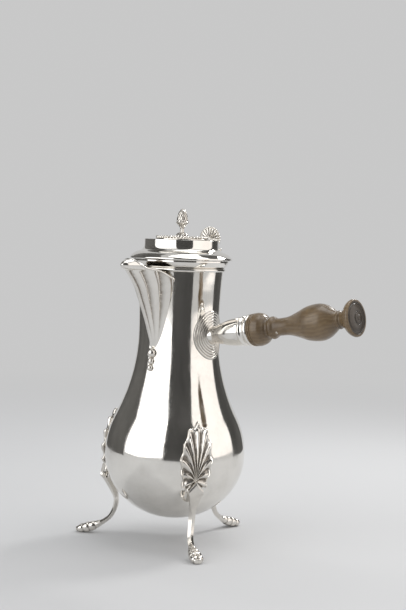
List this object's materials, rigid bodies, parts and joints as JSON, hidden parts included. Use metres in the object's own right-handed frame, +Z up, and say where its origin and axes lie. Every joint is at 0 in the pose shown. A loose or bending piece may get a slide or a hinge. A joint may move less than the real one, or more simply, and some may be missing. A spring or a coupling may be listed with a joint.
{
  "type": "chocolate pot",
  "caption": "Pear-shaped silver chocolate pot on three hoofed legs, with a fluted spout, a turned wooden side handle and a hinged lid with a swivelling stirrer cover.",
  "frame": {"origin": "on the table, under the pot's vertical axis, in the plane of the three soles", "axes": "+Z up; +X towards the side handle; -Y towards the spout, so the lid's hinge is towards +Y"},
  "size_m": [0.2247, 0.144, 0.25],
  "materials": {
    "silver": "polished old silver, softly worn, with fine scratches",
    "silver_cast": "cast and chased silver, tarnish left in its recesses",
    "handle_wood": "turned fruitwood, satin, waxed"
  },
  "bodies": {
    "pot": {"body": "silver", "mouth_moulding": "silver", "spout": "silver", "spout_drop": "silver_cast", "leg_front": "silver_cast", "leg_rear": "silver_cast", "leg_left": "silver_cast", "palmette_front": "silver_cast", "palmette_rear": "silver_cast", "palmette_left": "silver_cast", "handle_escutcheon": "silver", "handle_socket": "silver", "handle_tang": "silver", "handle_grip": "handle_wood", "handle_pin": "silver", "pot_hinge_leaf": "silver_cast", "hinge_pin": "silver"},
    "lid": {"lid": "silver", "lid_bezel": "silver", "lid_hinge_leaf": "silver_cast", "thumbpiece": "silver_cast", "cover_rivet": "silver", "cover_washer": "silver"},
    "cover": {"cover_disc": "silver", "bead_border": "silver", "finial": "silver_cast", "finial_rosette": "silver_cast"}
  },
  "joints": [
    {"name": "lid_hinge", "type": "hinge", "parent": "pot", "child": "lid", "pos_m": [0, 0.0406, 0.2124], "axis": [-1, 0, 0], "range_deg": [0, 105]},
    {"name": "cover_swivel", "type": "hinge", "parent": "lid", "child": "cover", "pos_m": [-0.0182, 0, 0.2275], "axis": [0, 0, -1], "range_deg": [0, 100]}
  ]
}
